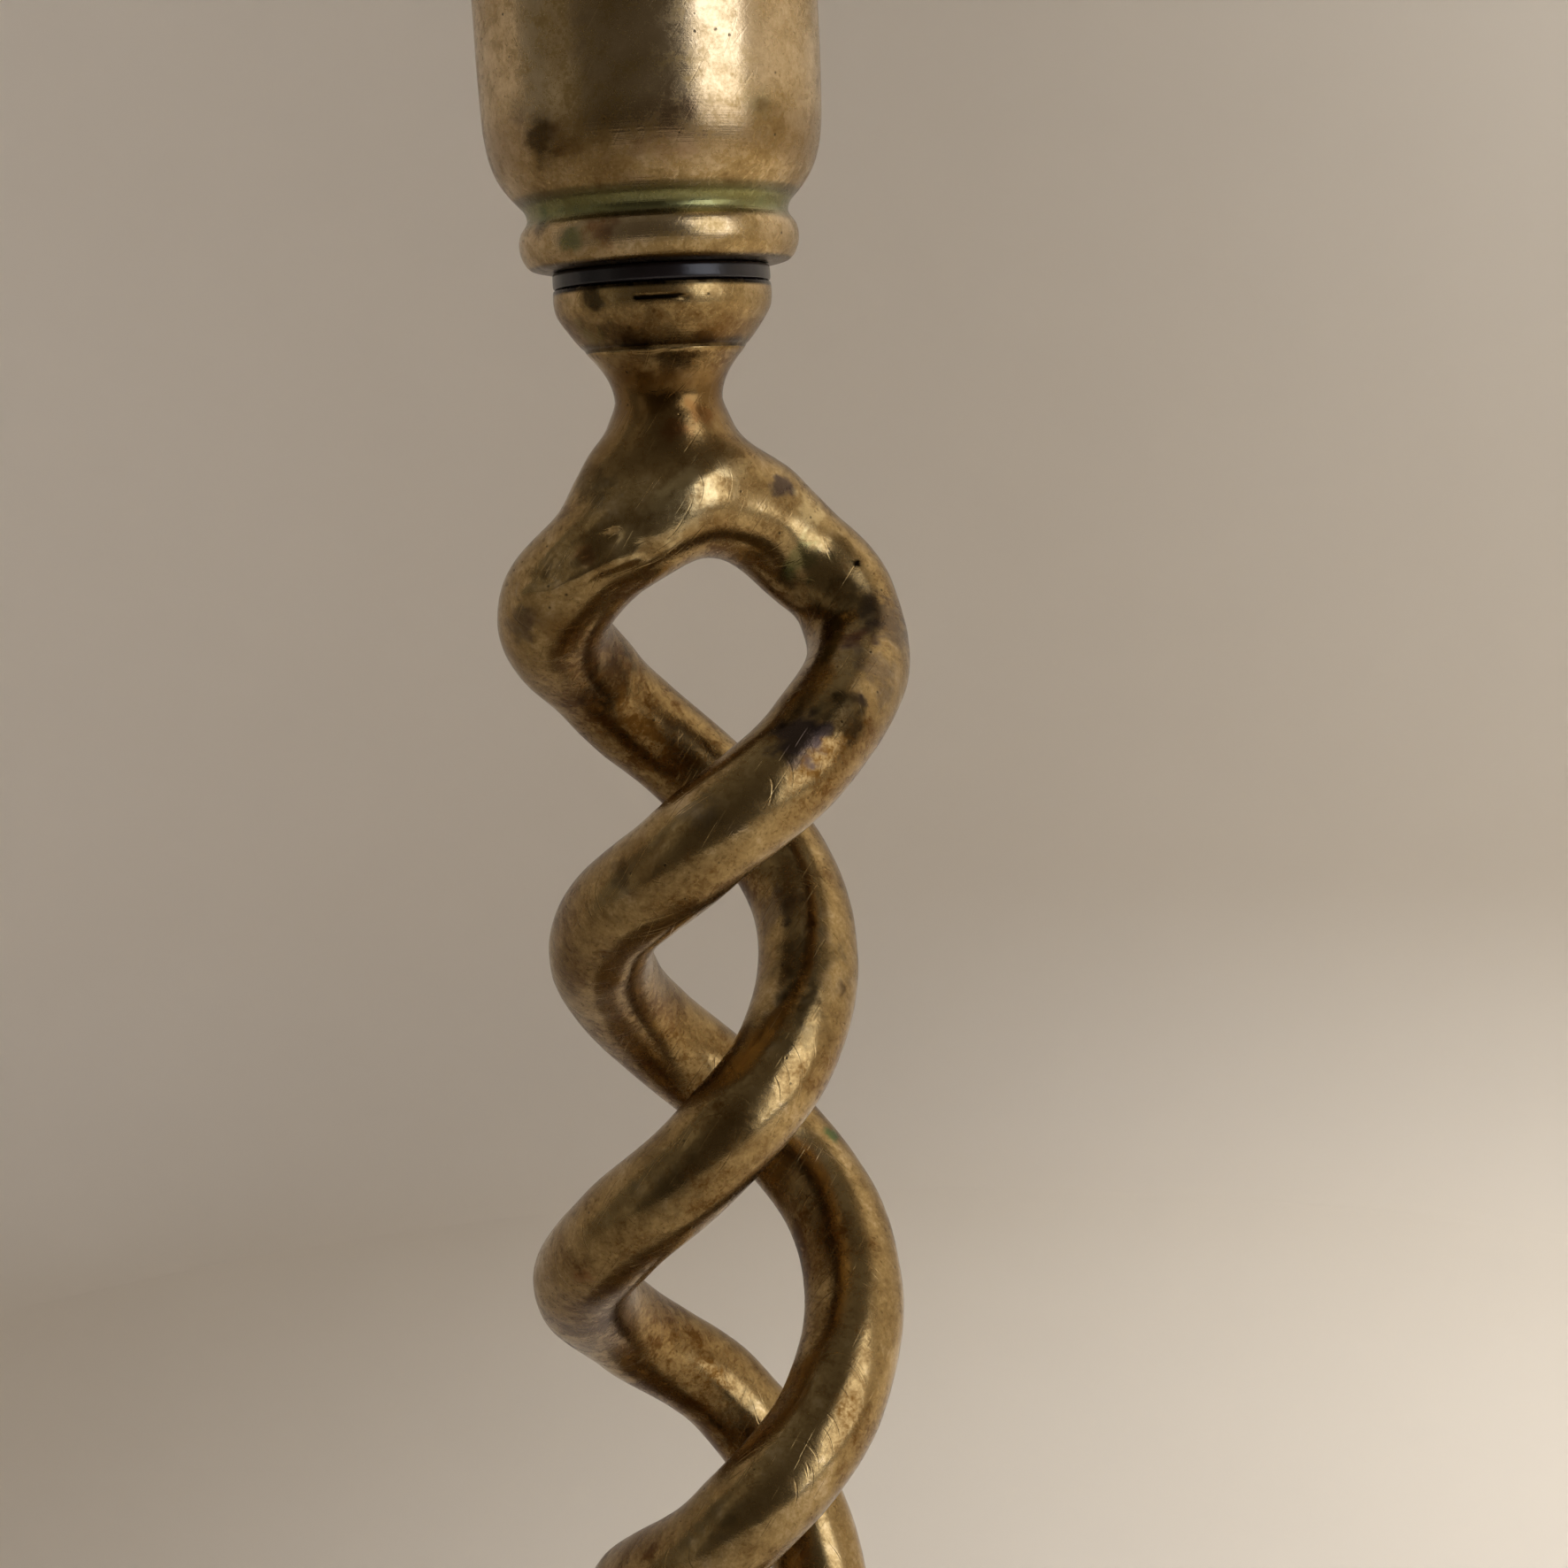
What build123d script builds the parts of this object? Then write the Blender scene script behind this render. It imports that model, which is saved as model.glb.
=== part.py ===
import os
from math import cos, radians, sin, sqrt

from build123d import *

# Candle cup, in millimetres; heights inside the cup are measured up from its seat
candle_diameter = 22.0
candle_clearance = 0.25
cup_diameter = 27.0
cup_height = 46.0
cup_floor = 10.0
lip_diameter = 37.0
lip_edge = 1.6
lip_flare = 7.0
bead_diameter = 22.3
bead_height = 4.0
cove_diameter = 21.2
shoulder_height = 11.5
cup_foot_diameter = 18.8

# Screw that joins the cup to the stem
stud_diameter = 8.0
thread_clearance = 0.05
stud_end_gap = 0.4
cup_thread_depth = 8.2
collar_thread_depth = 5.2
washer_diameter = 17.4
washer_thickness = 1.4
washer_clearance = 0.15

# Turned collar and neck at each end of the twist
collar_diameter = 17.4
collar_edge = 1.2
collar_height = 4.9
neck_diameter = 8.7
neck_drop = 8.8
fork_diameter = 13.8
fork_drop = 14.4

# Two twisted rods
rod_diameter = 8.46
prong_root_drop = 15.2
prong_root_offset = 1.8
prong_root_tilt = 40.0

# Foot
foot_diameter = 108.0
foot_height = 40.0
foot_rim_height = 4.0
foot_wall = 3.2
foot_step_diameter = 70.0
foot_step_height = 15.0
foot_shoulder_diameter = 27.0
foot_shoulder_height = 28.5
foot_boss_height = 26.0
foot_boss_diameter = 22.0
foot_washer_diameter = 18.0
foot_washer_thickness = 1.6
foot_nut_width = 13.0
foot_nut_height = 6.5
foot_stud_tail = 2.5

# Stem length between the two collars, from cup seat to foot
stem_length = 175.0

seat = foot_height + stem_length
socket_radius = candle_diameter / 2 + candle_clearance
cup_radius = cup_diameter / 2
bead_radius = bead_diameter / 2
cove_radius = cove_diameter / 2
lip_radius = lip_diameter / 2
stud_radius = stud_diameter / 2
hole_radius = stud_radius + thread_clearance
rod_radius = rod_diameter / 2
foot_radius = foot_diameter / 2
step_radius = foot_step_diameter / 2
shoulder_radius = foot_shoulder_diameter / 2
boss_radius = foot_boss_diameter / 2
collar_top = seat - washer_thickness

# Hand twisted rods: drop below the cup seat and distance from the stem axis,
# one pair for each quarter turn, from just above the first loop to just below the last
right_rod = (
    (14.5, 5.0),
    (29.0, 14.0),
    (45.0, 13.5),
    (59.0, 7.5),
    (69.5, 7.0),
    (83.0, 11.0),
    (101.5, 14.5),
    (118.0, 8.5),
    (132.5, 9.5),
    (147.5, 12.0),
    (160.5, 5.0),
)
left_rod = (
    (18.0, 5.0),
    (26.0, 10.5),
    (42.0, 10.5),
    (57.0, 9.0),
    (70.5, 10.0),
    (85.5, 12.0),
    (103.0, 12.5),
    (126.0, 7.0),
    (139.5, 10.0),
    (150.0, 12.0),
    (160.0, 5.0),
)
rods = ((right_rod, 0.0), (left_rod, 180.0))
last_quarter = len(right_rod) - 3


def blend(a, b, c, d, u):
    bend = 2 * a - 5 * b + 4 * c - d
    twist = 3 * b - a - 3 * c + d
    return (2 * b + (c - a) * u + bend * u**2 + twist * u**3) / 2


def rod_point(turns, phase, quarter):
    first = min(int(quarter + 1), len(turns) - 2)
    picks = [turns[min(max(first + n, 0), len(turns) - 1)] for n in (-1, 0, 1, 2)]
    u = quarter + 1 - first
    drop, reach = (blend(*values, u) for values in zip(*picks))
    angle = radians(phase - 90 * quarter)
    return Vector(reach * cos(angle), reach * sin(angle), seat - drop)


def rod_heading(turns, phase, quarter):
    step = 0.02
    ahead = rod_point(turns, phase, quarter + step)
    return (ahead - rod_point(turns, phase, quarter - step)).normalized()


def draw_biarc(start, start_heading, end, end_heading):
    chord = end - start
    spread = 2 * (1 - start_heading.dot(end_heading))
    reach = chord.dot(start_heading + end_heading)
    leg = (sqrt(reach**2 + spread * chord.dot(chord)) - reach) / spread
    near = start + start_heading * leg
    far = end - end_heading * leg
    middle = (near + far) * 0.5
    TangentArc(start, middle, tangent=start_heading)
    TangentArc(middle, end, tangent=(far - near).normalized())


def draw_rod(turns, phase, first, last):
    eighths = round((last - first) * 2)
    for n in range(eighths):
        here = first + n / 2
        there = here + 0.5
        draw_biarc(
            rod_point(turns, phase, here),
            rod_heading(turns, phase, here),
            rod_point(turns, phase, there),
            rod_heading(turns, phase, there),
        )


def prong_root(phase, quarter, height):
    # start of a prong inside the fork, and the way it leaves the stem axis
    side = radians(phase - 90 * quarter)
    outward = Vector(cos(side), sin(side), 0)
    tilt = radians(prong_root_tilt)
    return outward * prong_root_offset + Vector(0, 0, height), outward * sin(tilt), cos(tilt)


def draw_upper_prong(turns, phase):
    root, lean, fall = prong_root(phase, -1, seat - prong_root_drop)
    heading = lean - Vector(0, 0, fall)
    draw_biarc(root, heading, rod_point(turns, phase, 0), rod_heading(turns, phase, 0))
    return root, heading


def draw_lower_prong(turns, phase):
    root, lean, fall = prong_root(phase, last_quarter + 1, foot_height + prong_root_drop)
    heading = lean * -1 - Vector(0, 0, fall)
    start = rod_point(turns, phase, last_quarter)
    draw_biarc(start, rod_heading(turns, phase, last_quarter), root, heading)


def fork_profile(face, away):
    # away is -1 for a fork that hangs below its seat and +1 for one that stands on it
    rim = collar_diameter / 2
    neck = neck_diameter / 2
    fork = fork_diameter / 2
    waist = (rim + neck) / 2
    edge = face + away * collar_edge
    hip = face + away * collar_height
    throat = face + away * neck_drop
    belly = face + away * fork_drop
    tip = belly + away * fork
    Line((0, face), (rim, face))
    Line((rim, face), (rim, edge))
    TangentArc((rim, edge), (waist, hip), tangent=(0, away))
    TangentArc((neck, throat), (waist, hip), tangent=(0, -away))
    flare = ((neck + fork) / 2, (throat + belly) / 2)
    TangentArc((neck, throat), flare, tangent=(0, away))
    TangentArc((fork, belly), flare, tangent=(0, -away))
    TangentArc((fork, belly), (0, tip), tangent=(0, away))
    Line((0, tip), (0, face))


with BuildPart() as candle_cup:
    with BuildSketch(Plane.XZ):
        with BuildLine():
            Line((0, seat), (cup_foot_diameter / 2, seat))
            ThreePointArc(
                (cup_foot_diameter / 2, seat),
                (bead_radius, seat + bead_height / 2),
                (cove_radius, seat + bead_height),
            )
            cove_top = (cove_radius, seat + bead_height + 0.5)
            Line((cove_radius, seat + bead_height), cove_top)
            shoulder = (cup_radius, seat + shoulder_height)
            TangentArc(shoulder, cove_top, tangent=(0, -1))
            flare_start = seat + cup_height - lip_flare
            Line(shoulder, (cup_radius, flare_start))
            rim_low = (lip_radius, seat + cup_height - lip_edge)
            TangentArc((cup_radius, flare_start), rim_low, tangent=(0, 1))
            rim_high = (lip_radius, seat + cup_height)
            Line(rim_low, rim_high)
            throat_start = (socket_radius, flare_start + 1)
            mouth = (socket_radius + lip_flare - 1, seat + cup_height)
            Line(rim_high, mouth)
            TangentArc(throat_start, mouth, tangent=(0, 1))
            Line(throat_start, (socket_radius, seat + cup_floor))
            Line((socket_radius, seat + cup_floor), (0, seat + cup_floor))
            Line((0, seat + cup_floor), (0, seat))
        make_face()
    revolve(axis=Axis.Z)
    with BuildSketch(Plane.XY.offset(seat)):
        Circle(hole_radius)
    extrude(amount=cup_thread_depth, mode=Mode.SUBTRACT)
candle_cup.part.label = "candle_cup"

with BuildPart() as seat_washer:
    with BuildSketch(Plane.XY.offset(collar_top)):
        Circle(washer_diameter / 2)
        Circle(stud_radius + washer_clearance, mode=Mode.SUBTRACT)
    extrude(amount=washer_thickness)
seat_washer.part.label = "seat_washer"

with BuildPart() as cup_stud:
    stud_foot = collar_top - collar_thread_depth
    stud_head = seat + cup_thread_depth - stud_end_gap
    with BuildSketch(Plane.XY.offset(stud_foot)):
        Circle(stud_radius)
    extrude(amount=stud_head - stud_foot)
cup_stud.part.label = "cup_stud"

with BuildPart() as upper_fork:
    with BuildSketch(Plane.XZ):
        with BuildLine():
            fork_profile(collar_top, -1)
        make_face()
    revolve(axis=Axis.Z)
    for turns, phase in rods:
        with BuildLine():
            root, heading = draw_upper_prong(turns, phase)
        with BuildSketch(Plane(origin=root, z_dir=heading)):
            Circle(rod_radius)
        sweep()
    with BuildSketch(Plane.XY.offset(collar_top)):
        Circle(hole_radius)
    extrude(amount=-collar_thread_depth, mode=Mode.SUBTRACT)
upper_fork.part.label = "upper_fork"

with BuildPart() as right_strand:
    with BuildLine():
        draw_rod(right_rod, 0.0, 0, last_quarter)
    with BuildSketch(Plane(origin=rod_point(right_rod, 0.0, 0), z_dir=rod_heading(right_rod, 0.0, 0))):
        Circle(rod_radius)
    sweep()
right_strand.part.label = "right_strand"

with BuildPart() as left_strand:
    with BuildLine():
        draw_rod(left_rod, 180.0, 0, last_quarter)
    with BuildSketch(Plane(origin=rod_point(left_rod, 180.0, 0), z_dir=rod_heading(left_rod, 180.0, 0))):
        Circle(rod_radius)
    sweep()
left_strand.part.label = "left_strand"

with BuildPart() as lower_fork:
    with BuildSketch(Plane.XZ):
        with BuildLine():
            fork_profile(foot_height, 1)
        make_face()
    revolve(axis=Axis.Z)
    for turns, phase in rods:
        with BuildLine():
            draw_lower_prong(turns, phase)
        end = rod_point(turns, phase, last_quarter)
        with BuildSketch(Plane(origin=end, z_dir=rod_heading(turns, phase, last_quarter))):
            Circle(rod_radius)
        sweep()
    with BuildSketch(Plane.XY.offset(foot_height)):
        Circle(hole_radius)
    extrude(amount=collar_thread_depth, mode=Mode.SUBTRACT)
lower_fork.part.label = "lower_fork"

washer_base = foot_boss_height - foot_washer_thickness
nut_base = washer_base - foot_nut_height

with BuildPart() as foot_stud:
    with BuildSketch(Plane.XY.offset(nut_base - foot_stud_tail)):
        Circle(stud_radius)
    extrude(amount=foot_height + collar_thread_depth - nut_base + foot_stud_tail)
foot_stud.part.label = "foot_stud"

with BuildPart() as foot:
    with BuildSketch(Plane.XZ):
        with BuildLine():
            inner_rim = foot_radius - foot_wall
            Line((inner_rim, 0), (foot_radius, 0))
            Line((foot_radius, 0), (foot_radius, foot_rim_height))
            rim_top = (foot_radius - 3, foot_rim_height + 3)
            TangentArc((foot_radius, foot_rim_height), rim_top, tangent=(0, 1))
            ledge = (foot_radius - 6, foot_rim_height + 3)
            Line(rim_top, ledge)
            step_low = (step_radius, foot_step_height - 2.5)
            TangentArc(ledge, step_low, tangent=(-1, 0))
            Line(step_low, (step_radius, foot_step_height))
            dome_low = (step_radius - 2, foot_step_height)
            Line((step_radius, foot_step_height), dome_low)
            dome_high = (shoulder_radius, foot_shoulder_height)
            dome_middle = (
                shoulder_radius * 0.32 + step_radius * 0.68,
                foot_shoulder_height * 0.72 + foot_step_height * 0.28,
            )
            ThreePointArc(dome_low, dome_middle, dome_high)
            waist = (cove_radius, foot_height - bead_height)
            TangentArc(waist, dome_high, tangent=(0, -1))
            ThreePointArc(
                waist,
                (bead_radius, foot_height - bead_height / 2),
                (cup_foot_diameter / 2, foot_height),
            )
            Line((cup_foot_diameter / 2, foot_height), (0, foot_height))
            Line((0, foot_height), (0, foot_boss_height))
            Line((0, foot_boss_height), (boss_radius, foot_boss_height))
            hollow_low = (step_radius - foot_wall, foot_step_height - 2 * foot_wall)
            hollow_middle = (dome_middle[0] - 2, dome_middle[1] - foot_wall - 0.5)
            ThreePointArc((boss_radius, foot_boss_height), hollow_middle, hollow_low)
            skirt = (inner_rim, foot_rim_height - 1)
            Line(hollow_low, skirt)
            Line(skirt, (inner_rim, 0))
        make_face()
    revolve(axis=Axis.Z)
    with BuildSketch(Plane.XY.offset(foot_height)):
        Circle(hole_radius)
    extrude(amount=foot_boss_height - foot_height, mode=Mode.SUBTRACT)
foot.part.label = "foot"

with BuildPart() as foot_washer:
    with BuildSketch(Plane.XY.offset(washer_base)):
        Circle(foot_washer_diameter / 2)
        Circle(stud_radius + washer_clearance, mode=Mode.SUBTRACT)
    extrude(amount=foot_washer_thickness)
foot_washer.part.label = "foot_washer"

with BuildPart() as foot_nut:
    with BuildSketch(Plane.XY.offset(nut_base)):
        RegularPolygon(foot_nut_width / 2, 6, major_radius=False)
        Circle(hole_radius, mode=Mode.SUBTRACT)
    extrude(amount=foot_nut_height)
foot_nut.part.label = "foot_nut"

os.makedirs("parts", exist_ok=True)
pieces = (
    candle_cup,
    seat_washer,
    cup_stud,
    upper_fork,
    right_strand,
    left_strand,
    lower_fork,
    foot_stud,
    foot,
    foot_washer,
    foot_nut,
)
for piece in pieces:
    export_step(piece.part, f"parts/{piece.part.label}.step")
    print(piece.part.label, round(piece.part.volume), len(piece.part.solids()), piece.part.is_valid)
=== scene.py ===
import math

import bmesh
import bpy
from mathutils import Matrix, Vector, noise


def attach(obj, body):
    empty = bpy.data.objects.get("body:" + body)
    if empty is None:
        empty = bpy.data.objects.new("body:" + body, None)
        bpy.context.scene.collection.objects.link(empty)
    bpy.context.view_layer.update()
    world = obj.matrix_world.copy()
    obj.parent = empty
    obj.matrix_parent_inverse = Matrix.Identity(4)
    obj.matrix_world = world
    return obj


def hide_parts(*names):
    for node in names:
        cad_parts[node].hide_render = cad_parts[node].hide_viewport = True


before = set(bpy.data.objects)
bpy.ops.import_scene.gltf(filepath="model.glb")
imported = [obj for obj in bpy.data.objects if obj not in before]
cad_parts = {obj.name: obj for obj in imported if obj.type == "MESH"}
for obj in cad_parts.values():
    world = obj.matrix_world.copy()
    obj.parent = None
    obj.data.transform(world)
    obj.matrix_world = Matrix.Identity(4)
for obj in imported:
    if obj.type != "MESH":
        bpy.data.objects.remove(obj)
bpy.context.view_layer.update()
mm = 0.001
sameSpot = 1e-7     # points closer than this, in metres, are one
seat = 215.0        # underside of the candle cup's bead, above the table
footTop = 40.0      # where the lower collar stands on the foot
washerThick = 1.4   # the seat washer, between the bead and the upper collar


# shared helpers

def hexLinear(code):
    values = [int(code[n:n + 2], 16) / 255 for n in (1, 3, 5)]
    linear = [v / 12.92 if v <= 0.04045 else ((v + 0.055) / 1.055) ** 2.4 for v in values]
    return (*linear, 1.0)


def addNode(tree, kind, links, **settings):
    node = tree.nodes.new(kind)
    for key, value in settings.items():
        setattr(node, key, value)
    for key, value in links.items():
        if isinstance(value, bpy.types.NodeSocket):
            tree.links.new(value, node.inputs[key])
        else:
            node.inputs[key].default_value = value
    return node


def setStops(ramp, stops):
    # colours a ramp by (position, hex colour) stops
    while len(ramp.color_ramp.elements) < len(stops):
        ramp.color_ramp.elements.new(0.5)
    for element, (spot, tone) in zip(ramp.color_ramp.elements, stops):
        element.position = spot
        element.color = hexLinear(tone)


def newMaterial(name):
    material = bpy.data.materials.new(name)
    material.use_nodes = True
    tree = material.node_tree
    place = addNode(tree, "ShaderNodeTexCoord", {}).outputs["Object"]
    return material, tree, tree.nodes["Principled BSDF"], place


def addObject(name, data):
    thing = bpy.data.objects.new(name, data)
    bpy.context.scene.collection.objects.link(thing)
    return thing


def addPiece(name, bm, smoothAngle=40):
    bmesh.ops.remove_doubles(bm, verts=bm.verts, dist=sameSpot)
    bmesh.ops.recalc_face_normals(bm, faces=bm.faces)
    mesh = bpy.data.meshes.new(name)
    bm.to_mesh(mesh)
    bm.free()
    mesh.shade_smooth()
    mesh.set_sharp_from_angle(angle=math.radians(smoothAngle))
    return addObject(name, mesh)


def smoothBetween(points, n, u):
    # a smooth line through the points, at share u of the way from point n to the next
    a, b, c, d = (Vector(points[min(max(n + k, 0), len(points) - 1)]) for k in (-1, 0, 1, 2))
    return (2 * b + (c - a) * u + (2 * a - 5 * b + 4 * c - d) * u ** 2
            + (3 * b - a - 3 * c + d) * u ** 3) / 2


def softRun(points, steps):
    # one run of a turned outline as a smooth line
    line = [smoothBetween(points, n, s / steps) for n in range(len(points) - 1) for s in range(steps)]
    return line + [Vector(points[-1])]


def turnOnLathe(name, runs, lift, flip, around, steps):
    # spins an outline of (radius, height) runs about the stem; runs meet in crisp corners
    bm = bmesh.new()
    last = None
    for run in runs:
        line = softRun(run, steps) if len(run) > 2 else [Vector(p) for p in run]
        for radius, height in line:
            spot = Vector((radius * mm, 0, (lift + flip * height) * mm))
            if last and (last.co - spot).length < sameSpot:
                continue
            vert = bm.verts.new(spot)
            if last:
                bm.edges.new((last, vert))
            last = vert
    bmesh.ops.spin(bm, geom=bm.verts[:] + bm.edges[:], cent=(0, 0, 0), axis=(0, 0, 1),
                   angle=math.tau, steps=around, use_merge=True)
    return addPiece(name, bm)


def farFromLine(spot, points):
    gaps = []
    for a, b in zip(points, points[1:]):
        along = (spot - a).dot(b - a) / (b - a).length_squared
        gaps.append((spot - a - (b - a) * min(1, max(0, along))).length)
    return min(gaps)


def pressMarks(piece, marks):
    # raises (or with a negative depth, cuts) marks, each given as a line in mm about the seat, its width
    # and its depth
    for line, width, depth in marks:
        points = [Vector((x, y, seat + z)) for x, y, z in line]
        reach = width + sum((b - a).length for a, b in zip(points, points[1:]))
        for vert in piece.data.vertices:
            spot = vert.co / mm
            if (spot - points[0]).length > reach:
                continue
            far = farFromLine(spot, points)
            if far < width:
                vert.co += vert.normal * depth * mm * (1 - (far / width) ** 2) ** 2


# camera close to the stick, level with its neck and looking slightly down; sizes in mm, angles in degrees,
# the focal length in pixels of a picture that many pixels wide

view = {"away": 174.47, "right": 7.7, "drop": 11.89, "tilt": 9.88, "roll": -2.95,
        "focal": 2400, "pixels": 1772, "sensor": 36, "clip": 10}


def placeCamera():
    tilt, roll = math.radians(view["tilt"]), math.radians(view["roll"])
    ahead = Vector((0, math.cos(tilt), -math.sin(tilt)))
    side, up = Vector((1, 0, 0)), Vector((0, math.sin(tilt), math.cos(tilt)))
    sideRolled = side * math.cos(roll) + up * math.sin(roll)
    upRolled = up * math.cos(roll) - side * math.sin(roll)
    spot = Vector((view["right"], -view["away"], seat - view["drop"])) * mm
    camera = addObject("camera", bpy.data.cameras.new("camera"))
    turn = Matrix((sideRolled, upRolled, -ahead)).transposed().to_4x4()
    camera.matrix_world = Matrix.Translation(spot) @ turn
    camera.data.sensor_width = view["sensor"]
    camera.data.lens = view["sensor"] * view["focal"] / view["pixels"]
    camera.data.clip_start = view["clip"] * mm
    bpy.context.scene.camera = camera


placeCamera()
print("camera placed")


# brass, turned on a lathe or filed by hand, and much handled since: a satin gold that has browned unevenly,
# with tool lines, stray scratches, small pits, darker films where a cloth never reaches, painted shade on
# faces turned down, and painted highlights

brassLook = {
    "gold": "#CDB691", "tan": "#9D8457", "brown": "#5E4019", "black": "#181006", "smoke": "#463A35",
    # the last tone on the next line is a painted highlight, laid on the twist like a film
    "green": "#5C6A3E", "rust": "#74421F", "paintedHighlight": "#DCC795",
    # sizes in mm of the clouds, spots, pits and lines; the lathe's rings are really about 0.1 mm apart
    # and are drawn wider so that they show
    "cloud": 9.0, "mottle": 1.3, "speck": 0.3, "pit": 1.4, "scratch": 0.22, "toolLine": 0.26,
    "noiseRough": 0.65, "noiseBend": 0.4,
    # how far each noise wears the brown away, how worn it is to start with, and the tone at each stage
    "cloudShare": 0.36, "mottleShare": 0.24, "speckShare": 0.14, "worn": 0.13,
    "stages": ((0.16, "black"), (0.31, "brown"), (0.44, "tan"), (0.58, "gold")),
    "filmAndHighlightOverMottle": 0.5, "filmAndHighlightEdge": (0.5, 0.72), "filmAndHighlightStrength": (0.15, 1.25),
    "ringCore": 0.3, "ringGain": 1.8,
    "pitsAbove": 0.66, "pitRim": (0.04, 0.11), "pitDark": 0.75, "pitDepth": 1.6,
    "sheenMottle": 0.5, "sheenSpeck": 0.3, "sheen": (0.68, 1.02), "duller": 0.18, "shinier": 0.02,
    "scratchSets": (((0.5, 0.9, 0.3), 0.66), ((1.2, -0.4, 1.1), 0.68)), "scratchEdge": 0.06,
    "scratchStretch": (0.03, 1.0, 0.05), "toolStretch": (0.015, 0.015, 1.0), "reliefDepth": 0.01,
}


def agedBrass(name, gloss, age, dirtAndUnderShade, scratches, toolLines, bands):
    look = brassLook
    material, tree, shader, place = newMaterial(name)
    cloud, mottle, speck = (
        addNode(tree, "ShaderNodeTexNoise", {
            "Vector": place, "Scale": 1 / (look[size] * mm), "Detail": detail,
            "Roughness": look["noiseRough"], "Distortion": look["noiseBend"]}).outputs["Fac"]
        for size, detail in (("cloud", 4.0), ("mottle", 4.0), ("speck", 2.0)))
    wear = addNode(tree, "ShaderNodeMath", {0: cloud, 1: look["cloudShare"], 2: look["worn"] - age},
                   operation="MULTIPLY_ADD").outputs[0]
    # this layer darkens the brass with dirt on faces turned to the stem and with painted shade on faces
    # turned down
    dirtAndShadeLayer = addNode(tree, "ShaderNodeAttribute", {}, attribute_name="dirtAndShadeLayer").outputs["Fac"]
    for layer, share in ((mottle, look["mottleShare"]), (speck, look["speckShare"]), (dirtAndShadeLayer, -dirtAndUnderShade)):
        wear = addNode(tree, "ShaderNodeMath", {0: layer, 1: share, 2: wear},
                       operation="MULTIPLY_ADD").outputs[0]
    ramp = addNode(tree, "ShaderNodeValToRGB", {"Fac": wear})
    setStops(ramp, [(spot, look[tone]) for spot, tone in look["stages"]])
    colour = ramp.outputs["Color"]

    # films of another colour, and painted highlights, painted on the mesh, broken up by the mottle
    filmAndHighlight = addNode(tree, "ShaderNodeAttribute", {}, attribute_name="filmAndHighlight")
    broken = addNode(tree, "ShaderNodeMath", {
        0: filmAndHighlight.outputs["Alpha"], 1: look["filmAndHighlightOverMottle"], 2: mottle},
        operation="MULTIPLY_ADD").outputs[0]
    (thin, full), (weak, strong) = look["filmAndHighlightEdge"], look["filmAndHighlightStrength"]
    broken = addNode(tree, "ShaderNodeMapRange", {"Value": broken, "From Min": thin, "From Max": full,
                     "To Min": weak, "To Max": strong}).outputs["Result"]
    amount = addNode(tree, "ShaderNodeMath", {0: filmAndHighlight.outputs["Alpha"], 1: broken}, operation="MULTIPLY",
                     use_clamp=True).outputs[0]
    colour = addNode(tree, "ShaderNodeMix", {"Factor": amount, "A": colour, "B": filmAndHighlight.outputs["Color"]},
                     data_type="RGBA").outputs["Result"]

    # rings of tarnish or verdigris in the grooves and coves; on the cup, a black ring of painted shade
    # under the bead
    height = addNode(tree, "ShaderNodeSeparateXYZ", {"Vector": place}).outputs["Z"]
    for level, reach, tone, strength in bands:
        far = addNode(tree, "ShaderNodeMath", {0: height, 1: level * mm}, operation="SUBTRACT").outputs[0]
        far = addNode(tree, "ShaderNodeMath", {0: far}, operation="ABSOLUTE").outputs[0]
        near = addNode(tree, "ShaderNodeMapRange", {
            "Value": far, "From Min": reach * mm * look["ringCore"], "From Max": reach * mm,
            "To Min": strength * look["ringGain"], "To Max": 0.0},
            interpolation_type="SMOOTHSTEP").outputs["Result"]
        patchy = addNode(tree, "ShaderNodeMath", {0: near, 1: wear}, operation="MULTIPLY",
                         use_clamp=True).outputs[0]
        colour = addNode(tree, "ShaderNodeMix", {"Factor": patchy, "A": colour, "B": hexLinear(look[tone])},
                         data_type="RGBA").outputs["Result"]

    # small pits, in about a third of the cells
    cells = addNode(tree, "ShaderNodeTexVoronoi", {"Vector": place, "Scale": 1 / (look["pit"] * mm)})
    chosen = addNode(tree, "ShaderNodeSeparateColor", {"Color": cells.outputs["Color"]}).outputs["Red"]
    chosen = addNode(tree, "ShaderNodeMath", {0: chosen, 1: look["pitsAbove"]},
                     operation="GREATER_THAN").outputs[0]
    floor, rim = look["pitRim"]
    pits = addNode(tree, "ShaderNodeMapRange", {"Value": cells.outputs["Distance"], "From Min": floor,
                   "From Max": rim, "To Min": 1.0, "To Max": 0.0}).outputs["Result"]
    pits = addNode(tree, "ShaderNodeMath", {0: pits, 1: chosen}, operation="MULTIPLY").outputs[0]
    shade = addNode(tree, "ShaderNodeMath", {0: pits, 1: look["pitDark"]}, operation="MULTIPLY").outputs[0]
    colour = addNode(tree, "ShaderNodeMix", {"Factor": shade, "A": colour, "B": hexLinear(look["black"])},
                     data_type="RGBA").outputs["Result"]
    tree.links.new(colour, shader.inputs["Base Color"])

    # the worn places shine, the browned ones are dull, and both are broken up finely
    sheen = addNode(tree, "ShaderNodeMath", {0: mottle, 1: look["sheenMottle"], 2: wear},
                    operation="MULTIPLY_ADD").outputs[0]
    sheen = addNode(tree, "ShaderNodeMath", {0: speck, 1: look["sheenSpeck"], 2: sheen},
                    operation="MULTIPLY_ADD").outputs[0]
    dull, shiny = look["sheen"]
    rough = addNode(tree, "ShaderNodeMapRange", {
        "Value": sheen, "From Min": dull, "From Max": shiny,
        "To Min": gloss + look["duller"], "To Max": gloss - look["shinier"]}).outputs["Result"]
    tree.links.new(rough, shader.inputs["Roughness"])
    shader.inputs["Metallic"].default_value = 1.0

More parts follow.
